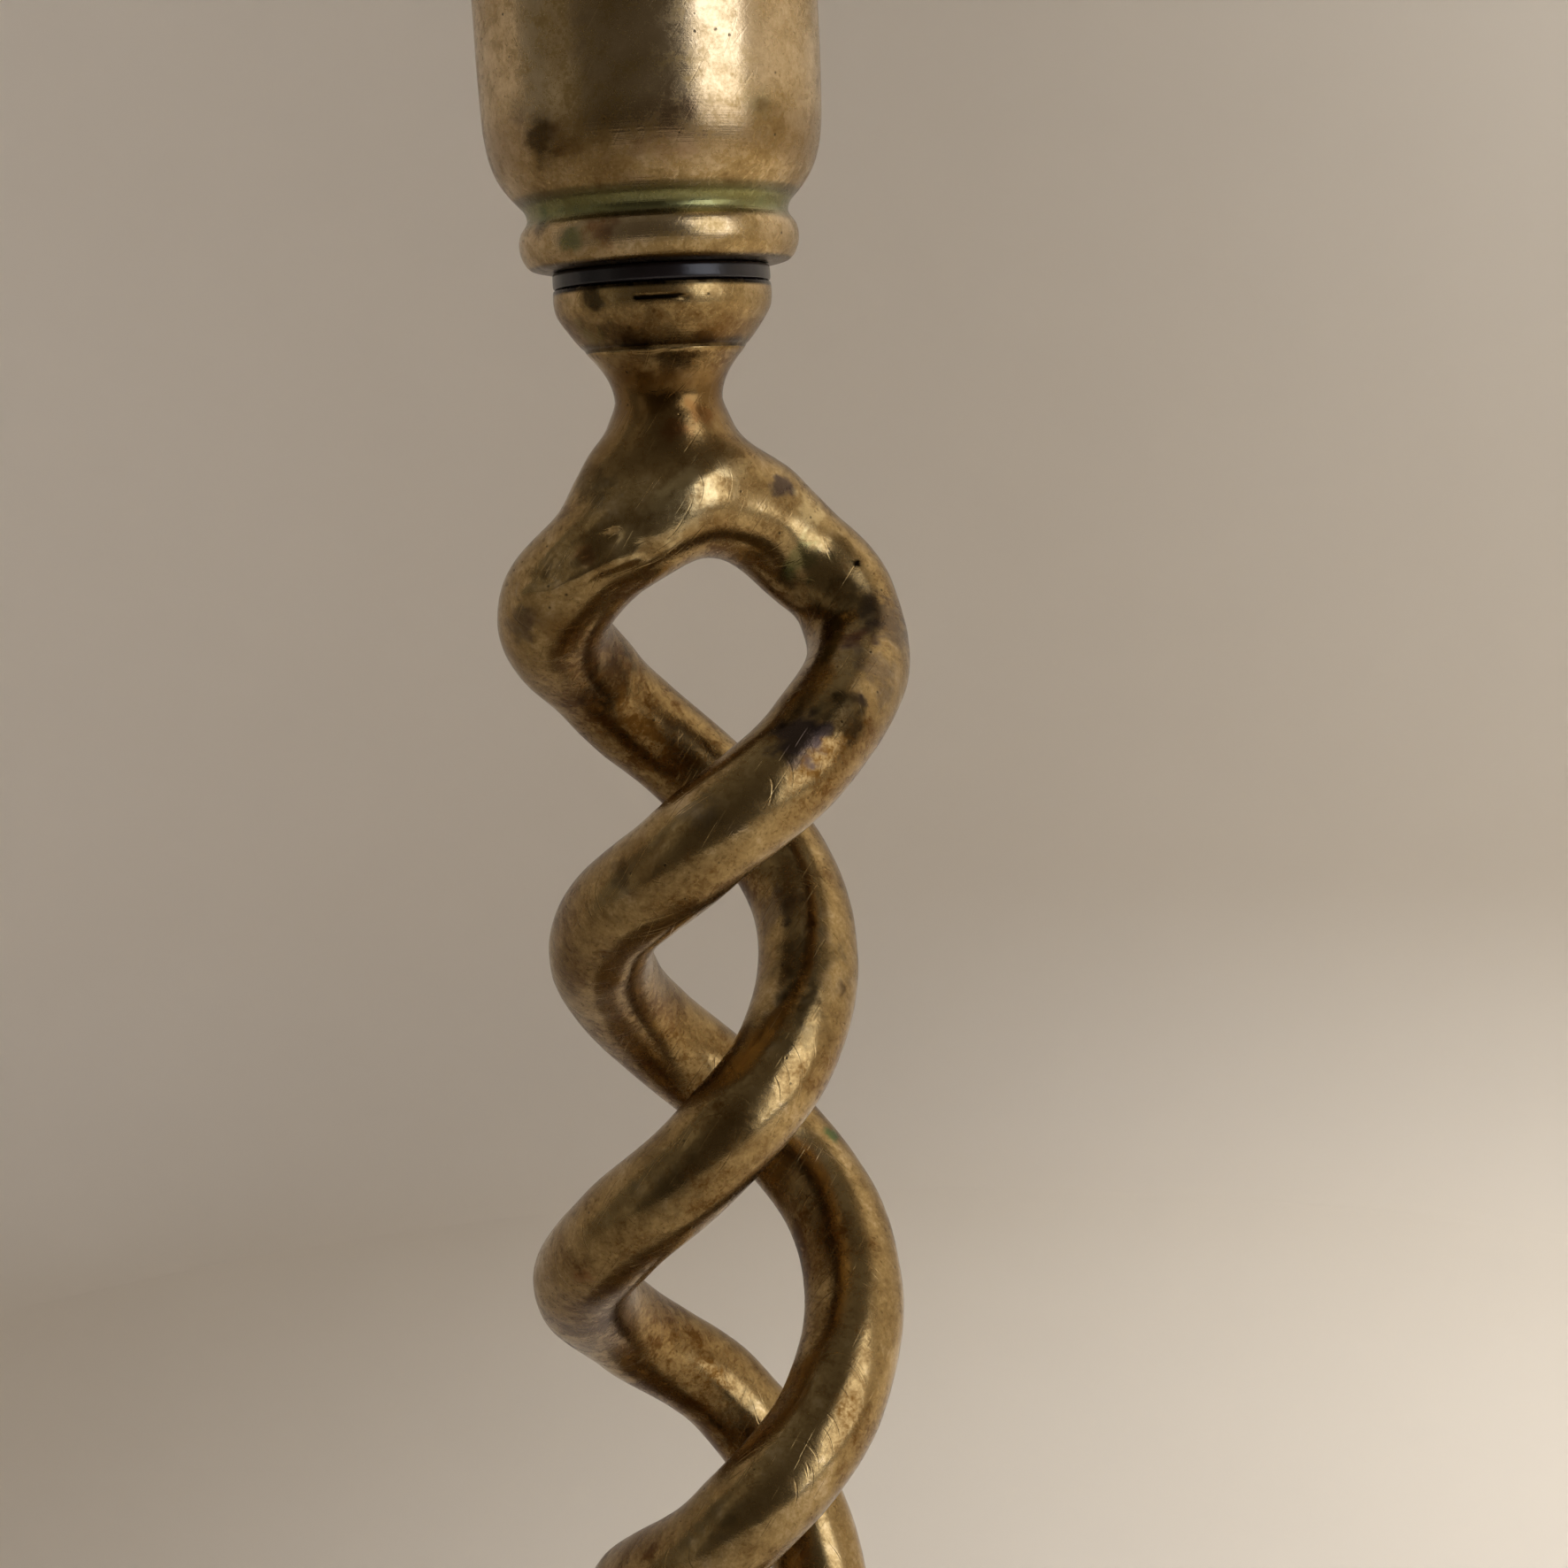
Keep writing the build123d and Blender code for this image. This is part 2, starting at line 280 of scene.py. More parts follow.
    # thin sheets of noise cut the surface in fine lines: two sets of stray scratches, and the lathe's rings
    relief = addNode(tree, "ShaderNodeMath", {0: pits, 1: -look["pitDepth"], 2: speck},
                     operation="MULTIPLY_ADD").outputs[0]
    for turn, keep in look["scratchSets"]:
        sheets = addNode(tree, "ShaderNodeMapping", {"Vector": place, "Rotation": turn}).outputs["Vector"]
        sheets = addNode(tree, "ShaderNodeMapping", {"Vector": sheets, "Scale": look["scratchStretch"]})
        lines = addNode(tree, "ShaderNodeTexNoise", {
            "Vector": sheets.outputs["Vector"], "Scale": 1 / (look["scratch"] * mm),
            "Detail": 1.0}).outputs["Fac"]
        lines = addNode(tree, "ShaderNodeMapRange", {
            "Value": lines, "From Min": keep, "From Max": keep + look["scratchEdge"],
            "To Min": 0.0, "To Max": -scratches}).outputs["Result"]
        relief = addNode(tree, "ShaderNodeMath", {0: relief, 1: lines}, operation="ADD").outputs[0]
    if toolLines:
        rings = addNode(tree, "ShaderNodeMapping", {"Vector": place, "Scale": look["toolStretch"]})
        rings = addNode(tree, "ShaderNodeTexNoise", {
            "Vector": rings.outputs["Vector"], "Scale": 1 / (look["toolLine"] * mm),
            "Detail": 3.0, "Roughness": 0.7}).outputs["Fac"]
        relief = addNode(tree, "ShaderNodeMath", {0: rings, 1: toolLines, 2: relief},
                         operation="MULTIPLY_ADD").outputs[0]
    bump = addNode(tree, "ShaderNodeBump", {"Height": relief, "Strength": 1.0,
                   "Distance": look["reliefDepth"] * mm}).outputs["Normal"]
    tree.links.new(bump, shader.inputs["Normal"])
    return material


# each band is (height, reach, tone, strength)
cupBrass = agedBrass(
    "turned brass of the cup", gloss=0.2, age=0.0, dirtAndUnderShade=0.3, scratches=0.35, toolLines=2.4,
    bands=((seat + 4.4, 1.5, "green", 0.8), (seat + 5.3, 0.5, "black", 0.55),
           # the black ring at the seat, first on the next line, is painted shade on the bead's underside
           (seat + 0.1, 0.4, "black", 0.9), (seat + 9.0, 3.0, "brown", 0.4)))
collarBrass = agedBrass(
    "turned brass of the collars", gloss=0.17, age=0.05, dirtAndUnderShade=0.3, scratches=0.5, toolLines=1.8,
    bands=((seat - 1.5, 0.45, "black", 1.2), (seat - 6.2, 0.7, "black", 0.9),
           (seat - 5.0, 1.2, "brown", 0.4), (footTop + 4.8, 0.7, "black", 0.9)))
twistBrass = agedBrass(
    "brass rod, bent and filed", gloss=0.13, age=0.08, dirtAndUnderShade=0.34, scratches=1.1, toolLines=0,
    bands=((seat - 10.0, 3.2, "brown", 0.9), (seat - 14.0, 3.0, "brown", 0.5)))
footBrass = agedBrass(
    "turned brass of the foot", gloss=0.2, age=0.04, dirtAndUnderShade=0.3, scratches=0.4, toolLines=1.6,
    bands=((footTop - 3.9, 0.6, "black", 0.9), (15.2, 0.6, "black", 1.0), (7.2, 0.8, "brown", 0.8)))

# the edges of films and of painted highlights are ragged unless they are tiny
stainShadeAndHighlightSettings = {"onAxis": 0.1, "turnedAway": 0.25, "reach": 1.5, "tiny": 0.6, "ragged": 0.5, "raggedScale": 0.7,
          "raggedNoise": (0.8, 2.0, 5), "edge": 2.0}


def stainShadeAndHighlightPiece(piece, filmsAndHighlights, inward, underShade):
    # dirt where a cloth doesn't reach (facing the stem), painted shade on faces turned down, and films and
    # painted highlights, each given as its place in mm about the seat, radius, strength and tone
    mesh = piece.data
    dirtAndUnderShade, paint = [], []
    for vert in mesh.vertices:
        spot = vert.co / mm
        outward = Vector((spot.x, spot.y, 0))
        facing = vert.normal.dot(outward.normalized()) if outward.length > stainShadeAndHighlightSettings["onAxis"] else 0
        # faces turned to the stem get dirt; faces turned down get painted shade
        dirtAndUnderShade.append(inward * max(0, stainShadeAndHighlightSettings["turnedAway"] - facing) + underShade * max(0, -vert.normal.z))
        tint, cover = Vector((0, 0, 0)), 0.0
        for x, y, z, radius, strength, tone in filmsAndHighlights:
            far = (spot - Vector((x, y, seat + z))).length / radius
            if far < stainShadeAndHighlightSettings["reach"]:
                if radius > stainShadeAndHighlightSettings["tiny"]:
                    place = spot * stainShadeAndHighlightSettings["raggedScale"]
                    far += stainShadeAndHighlightSettings["ragged"] * noise.fractal(place, *stainShadeAndHighlightSettings["raggedNoise"])
                share = strength * min(1, max(0, (1.0 - far) * stainShadeAndHighlightSettings["edge"]))
                tint = tint * (1 - share) + Vector(hexLinear(brassLook[tone])[:3]) * share
                cover = cover + (1 - cover) * share
        paint += [*(tint / cover if cover else tint), cover]
    mesh.attributes.new("dirtAndShadeLayer", "FLOAT", "POINT").data.foreach_set("value", dirtAndUnderShade)
    mesh.attributes.new("filmAndHighlight", "FLOAT_COLOR", "POINT").data.foreach_set("color", paint)


# candle cup: bead, cove, round shoulder, plain wall and a flared lip, heights up from the seat

cup = {
    "runs": (
        ((4.05, 8.2), (4.05, 0)),
        ((4.05, 0), (9.3, 0)),
        ((9.3, 0), (10.35, 0.3), (10.95, 1.1), (11.15, 2.1), (10.98, 3.0), (10.5, 3.7), (10.38, 4.2),
         (10.6, 4.8), (11.0, 5.25)),
        ((11.0, 5.25), (11.75, 6.1), (12.5, 7.25), (13.0, 8.6), (13.28, 10.1), (13.42, 12.0), (13.5, 16.0)),
        ((13.5, 16.0), (13.5, 39.0)),
        ((13.5, 39.0), (13.85, 41.2), (14.9, 43.1), (16.6, 44.1), (18.1, 44.5)),
        ((18.1, 44.5), (18.5, 45.0), (18.3, 45.7), (17.6, 46.0)),
        ((17.6, 46.0), (16.0, 45.6), (13.6, 44.4), (12.0, 42.4), (11.25, 40.0)),
        ((11.25, 40.0), (11.25, 10.8)),
        ((11.25, 10.8), (11.0, 10.2), (10.4, 10.0)),
        ((10.4, 10.0), (0, 10.0)),
    ),
    "around": 128, "steps": 6,
    # the edge of an old stain, low on the right
    "tideLine": [(8.8 + 0.6 * n, -10.1 + 1.0 * n, 10.8 + 0.4 * n - 0.5 * (n % 3 == 1), 0.8, 0.4, "brown")
                 for n in range(8)],
    "filmsAndHighlights": (
        (-8.5, -6.5, 3.6, 1.6, 0.5, "black"), (-4, -10.3, 2.4, 1.8, 0.5, "rust"),
        (-6.3, -9.2, 1.9, 1.3, 0.5, "green"), (-5.4, -12.3, 15, 3, 0.25, "brown"),
        (2, -13, 9, 3.2, 0.25, "rust"), (-2, -12, 6.6, 2.6, 0.35, "brown"),
        (8.6, -10.2, 10.7, 2.4, 0.2, "green"), (-8, -10.2, 9, 2.1, 0.6, "black"),
        (-9.5, -9.2, 11.5, 1.6, 0.4, "black"), (-6, -11.6, 8.8, 1.8, 0.4, "brown"),
        (6, 12, 12, 4, 0.35, "brown"), (-11, 6, 22, 4, 0.3, "rust"),
    ),
}
candleCup = turnOnLathe("candleCup", cup["runs"], seat, 1, cup["around"], cup["steps"])
candleCup.data.materials.append(cupBrass)
stainShadeAndHighlightPiece(candleCup, [*cup["filmsAndHighlights"], *cup["tideLine"]], inward=0.0, underShade=0.3)
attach(candleCup, "cup")
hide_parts("candle_cup")
print("candle cup turned")


# collars, heights down from the cup's washer and up from the foot; the groove beyond each hides its joint

collar = {
    "runs": (
        ((4.05, 0), (8.55, 0)),
        ((8.55, 0), (8.72, 0.15), (8.75, 1.0), (8.6, 1.9), (8.15, 2.7), (7.3, 3.9), (6.7, 4.6)),
        ((6.7, 4.6), (6.5, 4.78), (6.4, 5.0)),
        ((6.4, 5.0), (5.6, 5.1)),
    ),
    "around": 160, "steps": 6,
    "slit": (((-1.5, -8.6, -2.62), (0.4, -8.6, -2.55), (2.0, -8.45, -2.72)), 0.22, -0.22),
    "slitFilm": [(0.25 * n - 1.6, -8.6, -2.62, 0.3, 1.0, "black") for n in range(15)],
    "filmsAndHighlights": (
        (-5, -7, -2.4, 1.4, 0.6, "black"), (-3.8, -6.6, -5, 1.7, 0.5, "black"),
        (6, -6.4, -3.2, 1.2, 0.3, "tan"), (-5.7, -5, -5, 1.6, 0.3, "green"),
        (0, -7.2, -5, 2.4, 0.4, "black"), (-2, -6.3, -5.6, 1.6, 0.6, "black"),
        (3, -5.8, -5.8, 1.5, 0.5, "black"), (5.3, -3.6, -5.8, 1.3, 0.5, "black"),
        (4, -6, -5, 2, 0.35, "brown"), (2, 8, -3.5, 2, 0.4, "brown"), (-3, -6.5, -171, 2, 0.5, "black"),
        (5, 5, -171, 2, 0.5, "brown"),
    ),
}
for name, lift, flip in (("upperCollar", seat - washerThick, -1), ("lowerCollar", footTop, 1)):
    piece = turnOnLathe(name, collar["runs"], lift, flip, collar["around"], collar["steps"])
    pressMarks(piece, (collar["slit"],))
    piece.data.materials.append(collarBrass)
    stainShadeAndHighlightPiece(piece, [*collar["filmsAndHighlights"], *collar["slitFilm"]], inward=0.0, underShade=0.3)
    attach(piece, "stick")
print("collars turned")


# the open twist: drop below the seat and distance from the axis at each quarter turn of a rod; arches and
# gussets are (across, depth, drop, radius) spots, the neck and trunks (radius, drop)

twist = {
    "rod": 4.25, "leftTurn": 4.75,
    "right": (
        (14.5, 5.0), (29.0, 14.0), (45.0, 13.5), (59.0, 7.5), (69.5, 7.0), (83.0, 11.0), (101.5, 14.5),
        (118.0, 8.5), (132.5, 9.5), (147.5, 12.0), (160.5, 5.0),
    ),
    "left": (
        (18.0, 5.0), (26.6, 10.3), (42.4, 10.5), (57.0, 9.0), (70.5, 10.0), (85.5, 12.0), (103.0, 12.5),
        (126.0, 7.0), (139.5, 10.0), (150.0, 12.0), (160.0, 5.0),
    ),
    "topArch": (
        (-7.2, -2.4, 23.1, 4.6), (-2.6, -3.3, 19.9, 4.5), (1.5, -2.5, 18.7, 4.5), (4.9, -0.7, 19.2, 4.5),
        (7.7, 1.1, 20.9, 4.5), (10.1, 1.9, 23.4, 4.4), (12.9, 1.3, 26.2, 4.3),
    ),
    "footArch": (
        (11.0, -3.8, 152.2, 4.3), (8.0, -5.6, 155.6, 4.35), (4.0, -4.0, 157.8, 4.4), (0, 0, 158.6, 4.4),
        (-4.0, 4.0, 157.8, 4.4), (-8.0, 5.6, 155.8, 4.35), (-11.0, 3.8, 153.2, 4.3),
    ),
    "neck": (
        (0, 5.7), (5.9, 5.7), (6.2, 6.1), (6.35, 6.45), (5.75, 7.15), (5.0, 8.2), (4.55, 9.2),
        (4.36, 10.2), (4.5, 10.9), (4.95, 11.9), (5.4, 12.9),
    ),
    # what the neck runs into, at the top and at the foot
    "trunks": (((5.7, 14.1), (5.7, 15.6), (5.3, 17.0), (4.6, 18.6), (3.4, 20.0), (1.8, 20.8), (0, 21.0)),
               ((5.9, 14.1), (6.3, 15.6), (6.3, 17.0), (5.7, 18.8), (4.4, 20.4), (2.4, 21.3), (0, 21.5))),
    "gussets": (((0.4, 0.4, 13.8, 3.4), (3.2, 1.3, 16.8, 4.0), (8.3, 2.1, 20.7, 3.4)),
                ((3.6, -0.8, 17.3, 4.2), (7.0, 0.8, 19.4, 4.2), (10.5, 1.9, 23.0, 3.4)),
                ((-0.8, -0.3, 13.8, 3.8), (-3.4, -1.6, 16.9, 4.3), (-7.4, -2.2, 23.0, 3.6)),
                ((6.8, 0.0, 17.8, 2.4), (4.6, -1.4, 17.0, 3.8), (1.8, -3.1, 18.0, 4.2),
                 (-1.4, -4.1, 20.0, 4.2), (-5.0, -3.7, 22.6, 3.6)),
                ((-0.4, 0.6, 162.6, 3.4), (-3.4, 2.8, 159.8, 4.0), (-8.0, 5.2, 156.4, 3.2)),
                ((0.4, -0.3, 162.6, 3.4), (3.4, -2.8, 159.8, 4.0), (8.0, -5.2, 156.0, 3.2))),
    "neckFrom": 6.2, "neckTrue": 11.2, "neckFree": 13.0, "core": 3.5, "outlineFrom": 5, "outlineSteps": 8,
    "plugAround": 64, "plugSteps": 5, "rodSteps": 14, "rodRound": 14, "handle": 2.8,
    "voxel": 0.45, "smoothing": 7, "crotch": 16.5, "crotchReach": 14.0, "crotchSmoothing": 60,
    "uneven": (9.0, 0.12), "unevenNoise": (1.0, 2.0, 3),
    # seam of the brazed lap on the first left turn, and the leaf of solder beside it
    "marks": (
        (((-12.6, -4.8, -24.8), (-9.7, -6.5, -24.6), (-6.1, -7.5, -23.1), (-3.4, -7.8, -22.2)), 1.0, 0.3),
        (((-10.1, -5.8, -23.7), (-9.2, -6.3, -22.3), (-7.6, -6.8, -21.3), (-4.4, -7.7, -20.5)), 0.8, -0.24),
        (((-4.4, -7.7, -20.5), (-5.7, -7.5, -21.9), (-7.7, -7, -23), (-10.1, -5.8, -23.7)), 0.8, -0.16),
    ),
    "filmsAndHighlights": (
        (0.5, -5.2, -8, 2.4, 0.55, "black"), (-3, -4.2, -8.4, 2.2, 0.5, "brown"),
        (-1, -4.5, -10, 2.4, 0.6, "black"), (2.5, -4, -11.5, 1.6, 0.5, "rust"),
        (0.5, -5, -12.5, 1.8, 0.5, "rust"), (-6, -4.5, -17, 3, 0.45, "black"),
        # the pale films on the next two lines are painted highlights along the crest of the crown
        (5, -5.2, -15.8, 2.4, 0.3, "paintedHighlight"), (2, -7.2, -17.5, 2.6, 0.35, "paintedHighlight"),
        (-0.6, -8, -19.5, 2.4, 0.4, "paintedHighlight"), (-3, -7.8, -21.3, 1.8, 0.35, "paintedHighlight"),
        (2.7, -6.8, -20.4, 2.4, 0.3, "brown"), (-7, -7.2, -22.2, 1.4, 0.4, "rust"),
        # the valley behind the front prong, and the right prong
        (8.8, -2.6, -17.6, 1.6, 0.7, "smoke"), (9.2, -1.9, -25.4, 1.6, 0.5, "black"),
        # the pale film at the end of the next line is a painted highlight on the right prong
        (10.3, -2.4, -23.2, 2.2, 0.35, "green"), (11.1, -1.5, -19.7, 2, 0.4, "paintedHighlight"),
        (14.5, -2.1, -24.1, 0.45, 0.95, "black"), (17, -4, -29, 3.6, 0.5, "smoke"),
        (13.5, -4.8, -27, 4.0, 0.38, "black"), (13.5, -6.5, -30.5, 2, 0.4, "rust"),
        # first left turn
        (-9.5, -4.5, -27.5, 2.6, 0.45, "brown"), (-13, -3.5, -27.5, 2.2, 0.45, "smoke"),
        # the strand that crosses first
        (9, -15, -36, 2.9, 0.75, "smoke"), (12.5, -13.5, -35, 2.9, 0.65, "black"),
        (15.5, -9.5, -32, 3.4, 0.45, "smoke"), (-3.5, -16.5, -45, 2.8, 0.4, "brown"),
        (1.5, -17.5, -41, 2.2, 0.35, "smoke"), (-6.5, 3, -33, 3.8, 0.5, "black"),
        (-5, 5, -38, 3, 0.35, "brown"),
        # second and third loops
        (9.5, -3, -51, 3, 0.4, "brown"), (9, -4, -61, 4, 0.45, "brown"),
        (6.5, -0.5, -52.5, 3, 0.45, "smoke"), (9, -5, -56, 4.2, 0.4, "black"),
        (7.5, -8.5, -60, 3.6, 0.38, "black"), (-5.5, -15.5, -46, 1.8, 0.35, "black"),
        (10.5, 4.5, -74.5, 1.2, 0.9, "green"), (-4, -13.5, -71, 4.5, 0.32, "black"),
        (2.5, -13.5, -67.5, 3, 0.3, "brown"), (-11, -10, -80.5, 1.4, 0.35, "rust"),
        (9, -4, -82, 3, 0.35, "brown"), (0, 8.5, -103, 3, 0.4, "black"),
        (-2, -16, -98.5, 4.5, 0.32, "black"),
        # the sides that face away
        (-4, 13, -52, 3, 0.4, "brown"), (9, 8, -60, 3, 0.4, "smoke"), (-9, 7, -88, 3, 0.4, "black"),
        (3, 12, -112, 3, 0.4, "brown"), (-8, 6, -22, 2.5, 0.4, "brown"), (6, 8, -20, 2.5, 0.4, "black"),
        (-9, -6, -128, 3, 0.4, "black"), (8, -8, -142, 3, 0.4, "smoke"), (0, -6, -158, 3, 0.4, "black"),
    ),
}


def rodPoint(turns, phase, quarter):
    first = min(int(quarter + 1), len(turns) - 2)
    drop, reach = smoothBetween(turns, first, quarter + 1 - first)
    angle = math.radians(phase - 90 * quarter)
    return Vector((reach * math.cos(angle), reach * math.sin(angle), seat - drop))


def rodSpots(rows):
    return [(Vector((x, y, seat - drop)), thick) for x, y, drop, thick in rows]


def bendRod(spots, closed):
    # a round rod along a smooth line through (place, radius) spots
    curve = bpy.data.curves.new("rod", "CURVE")
    curve.dimensions = "3D"
    curve.resolution_u = twist["rodSteps"]
    curve.bevel_depth = mm
    curve.bevel_resolution = twist["rodRound"]
    curve.use_fill_caps = not closed
    spline = curve.splines.new("BEZIER")
    spline.bezier_points.add(len(spots) - 1)
    spline.use_cyclic_u = closed
    for n, point in enumerate(spline.bezier_points):
        spot, thick = spots[n]
        before = spot - spots[n - 1][0] if closed or n else spots[1][0] - spot
        after = spots[(n + 1) % len(spots)][0] - spot if closed or n < len(spots) - 1 else before
        heading = (before / before.length_squared + after / after.length_squared).normalized()
        point.handle_left_type = point.handle_right_type = "FREE"
        point.co = spot * mm
        point.handle_left = (spot - heading * before.length / twist["handle"]) * mm
        point.handle_right = (spot + heading * after.length / twist["handle"]) * mm
        point.radius = thick
    rod = addObject("rod", curve)
    tube = bpy.data.meshes.new_from_object(rod.evaluated_get(bpy.context.evaluated_depsgraph_get()))
    bpy.data.objects.remove(rod)
    return tube


def twistSpots():
    # one closed run of rod: down the right strand, over the foot arch, up the left one, over the top arch
    last = len(twist["right"]) - 3
    steps = [n / 2 for n in range(2 * last + 1)]
    spots = [(rodPoint(twist["right"], 0, q), twist["rod"]) for q in steps]
    spots += rodSpots(twist["footArch"])
    spots += [(rodPoint(twist["left"], 180, q), twist["rod"] if q else twist["leftTurn"])
              for q in reversed(steps)]
    return spots + rodSpots(twist["topArch"])


def addSmoothing(piece, rounds, group=""):
    ease = piece.modifiers.new("ease", "SMOOTH")
    ease.factor = 0.5
    ease.iterations = rounds
    ease.vertex_group = group


def applyModifiers(piece):
    mesh = bpy.data.meshes.new_from_object(piece.evaluated_get(bpy.context.evaluated_depsgraph_get()))
    piece.modifiers.clear()
    piece.vertex_groups.clear()
    piece.data = mesh
    return mesh


def weldTwist():
    # rods, gussets and necks melted into one skin, then eased where the prongs part
    bm = bmesh.new()
    bm.from_mesh(bendRod(twistSpots(), True))
    for gusset in twist["gussets"]:
        bm.from_mesh(bendRod(rodSpots(gusset), False))
    for lift, flip, trunk in zip((seat, footTop - washerThick), (-1, 1), twist["trunks"]):
        outline = (twist["neck"] + trunk,)
        plug = turnOnLathe("plug", outline, lift, flip, twist["plugAround"], twist["plugSteps"])
        bm.from_mesh(plug.data)
        bpy.data.objects.remove(plug)
    mesh = bpy.data.meshes.new("twist")
    bm.to_mesh(mesh)
    bm.free()
    piece = addObject("twist", mesh)
    weld = piece.modifiers.new("weld", "REMESH")
    weld.mode = "VOXEL"
    weld.voxel_size = twist["voxel"] * mm
    addSmoothing(piece, twist["smoothing"])
    mesh = applyModifiers(piece)
    crotch = piece.vertex_groups.new(name="crotch")
    levels = seat - twist["crotch"], footTop - washerThick + twist["crotch"]
    for vert in mesh.vertices:
        spot = vert.co / mm
        far = min((spot - Vector((0, 0, level))).length for level in levels)
        if far < twist["crotchReach"]:
            crotch.add([vert.index], min(1, 2 - 2 * far / twist["crotchReach"]), "REPLACE")
    addSmoothing(piece, twist["crotchSmoothing"], "crotch")
    applyModifiers(piece)
    return piece


def trueUp(mesh):
    # the necks were turned, so they are true circles down to the trunk; the rods were filed and aren't
    outline = softRun(twist["neck"] + twist["trunks"][0], twist["outlineSteps"])
    size, depth = twist["uneven"]
    moves = []
    for vert in mesh.vertices:
        spot = vert.co / mm
        drop = min(seat - spot.z, spot.z - footTop + washerThick)
        bare = min(1, max(0, (drop - twist["neckTrue"]) / (twist["neckFree"] - twist["neckTrue"])))
        move = vert.normal * depth * bare * noise.fractal(spot / size, *twist["unevenNoise"])
        radius = math.hypot(spot.x, spot.y)
        if bare < 1 and drop > twist["neckFrom"] and radius > twist["core"]:
            k = min(range(twist["outlineFrom"], len(outline)), key=lambda n: abs(outline[n].y - drop))
            a, b = (outline[k - 1], outline[k]) if outline[k].y > drop else (outline[k], outline[k + 1])
            true = a.x + (b.x - a.x) * (drop - a.y) / max(b.y - a.y, 1e-6)
            move += Vector((spot.x, spot.y, 0)) * (true / radius - 1) * (1 - bare)
        moves.append(vert.co + move * mm)
    for vert, place in zip(mesh.vertices, moves):
        vert.co = place


stemTwist = weldTwist()
trueUp(stemTwist.data)
stemTwist.data.name = "twist"
stemTwist.data.shade_smooth()
stemTwist.data.materials.clear()
stemTwist.data.materials.append(twistBrass)
pressMarks(stemTwist, twist["marks"])
stainShadeAndHighlightPiece(stemTwist, twist["filmsAndHighlights"], inward=0.14, underShade=0.15)
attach(stemTwist, "stick")
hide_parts("upper_fork", "right_strand", "left_strand", "lower_fork")
print("twist welded", len(stemTwist.data.polygons))


# foot: stepped round dome, hollow underneath, with a bead under the lower collar

footTurning = {
    "runs": (
        ((50.8, 0), (54, 0)), ((54, 0), (54, 4)),
        ((54, 4), (53.7, 5.2), (52.9, 6.2), (51, 7)),
        ((51, 7), (48, 7)),
        ((48, 7), (44, 7.45), (39.5, 9.2), (35, 12.5)),
        ((35, 12.5), (35, 15)), ((35, 15), (33, 15)),
        ((33, 15), (32.2, 19.2), (29.6, 23.2), (25.5, 26.2), (20, 28.0), (13.5, 28.5)),
        ((13.5, 28.5), (11.7, 31), (10.85, 33.6), (10.6, 36)),
        ((10.6, 36), (10.98, 37), (11.15, 38), (10.9, 39.1), (10.3, 39.7), (9.4, 40)),
        ((9.4, 40), (4.05, 40)), ((4.05, 40), (4.05, 26)), ((4.05, 26), (11, 26)),
        ((11, 26), (18, 25), (25, 21.8), (29.6, 16.2), (31.8, 8.6)),
        ((31.8, 8.6), (50.8, 3)), ((50.8, 3), (50.8, 0)),
    ),
    "around": 160, "steps": 7, "edge": 0.35, "edgeSteps": 3,
    "filmsAndHighlights": (
        (-20, -18, -188, 9, 0.5, "brown"), (16, -40, -205, 10, 0.5, "brown"),
        (30, 6, -196, 10, 0.4, "smoke"), (-30, 20, -196, 9, 0.4, "brown"),
    ),
}
footPiece = turnOnLathe("footPiece", footTurning["runs"], 0, 1, footTurning["around"], footTurning["steps"])
rounding = footPiece.modifiers.new("worn edges", "BEVEL")
rounding.width = footTurning["edge"] * mm
rounding.segments = footTurning["edgeSteps"]
rounding.limit_method = "ANGLE"
footPiece.data.materials.append(footBrass)
stainShadeAndHighlightPiece(footPiece, footTurning["filmsAndHighlights"], inward=0.0, underShade=0.5)
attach(footPiece, "stick")
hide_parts("foot")
print("foot turned")


# seat washer in black lacquer, brushed on: glossy, clouded and a little uneven

washer = {
    "runs": (
        ((4.15, -washerThick), (8.45, -washerThick)),
        ((8.45, -washerThick), (8.68, -1.2), (8.7, -0.7), (8.66, -0.2), (8.4, 0)),
        ((8.4, 0), (4.15, 0)), ((4.15, 0), (4.15, -washerThick)),
    ),
    "around": 96, "steps": 4,
    "dark": "#0A0708", "light": "#1E1618", "cloud": 1.5, "uneven": 0.15, "unevenShare": 0.25,
    "roughness": 0.25, "specular": 0.4,
}


def blackLacquer():
    material, tree, shader, place = newMaterial("black lacquer")
    cloud = addNode(tree, "ShaderNodeTexNoise", {
        "Vector": place, "Scale": 1 / (washer["cloud"] * mm), "Detail": 4.0}).outputs["Fac"]
    ramp = addNode(tree, "ShaderNodeValToRGB", {"Fac": cloud})
    setStops(ramp, ((0.0, washer["dark"]), (1.0, washer["light"])))
    tree.links.new(ramp.outputs["Color"], shader.inputs["Base Color"])
    bump = addNode(tree, "ShaderNodeBump", {"Height": cloud, "Strength": washer["unevenShare"],
                   "Distance": washer["uneven"] * mm}).outputs["Normal"]
    tree.links.new(bump, shader.inputs["Normal"])
    shader.inputs["Roughness"].default_value = washer["roughness"]
    shader.inputs["Specular IOR Level"].default_value = washer["specular"]
    return material


seatWasher = turnOnLathe("seatWasher", washer["runs"], seat, 1, washer["around"], washer["steps"])
seatWasher.data.materials.append(blackLacquer())
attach(seatWasher, "seat_ring")
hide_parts("seat_washer")
print("washer turned")


# iron studs with a cut thread, washer and nut under the foot; oiled iron is dark, brownish and half dull

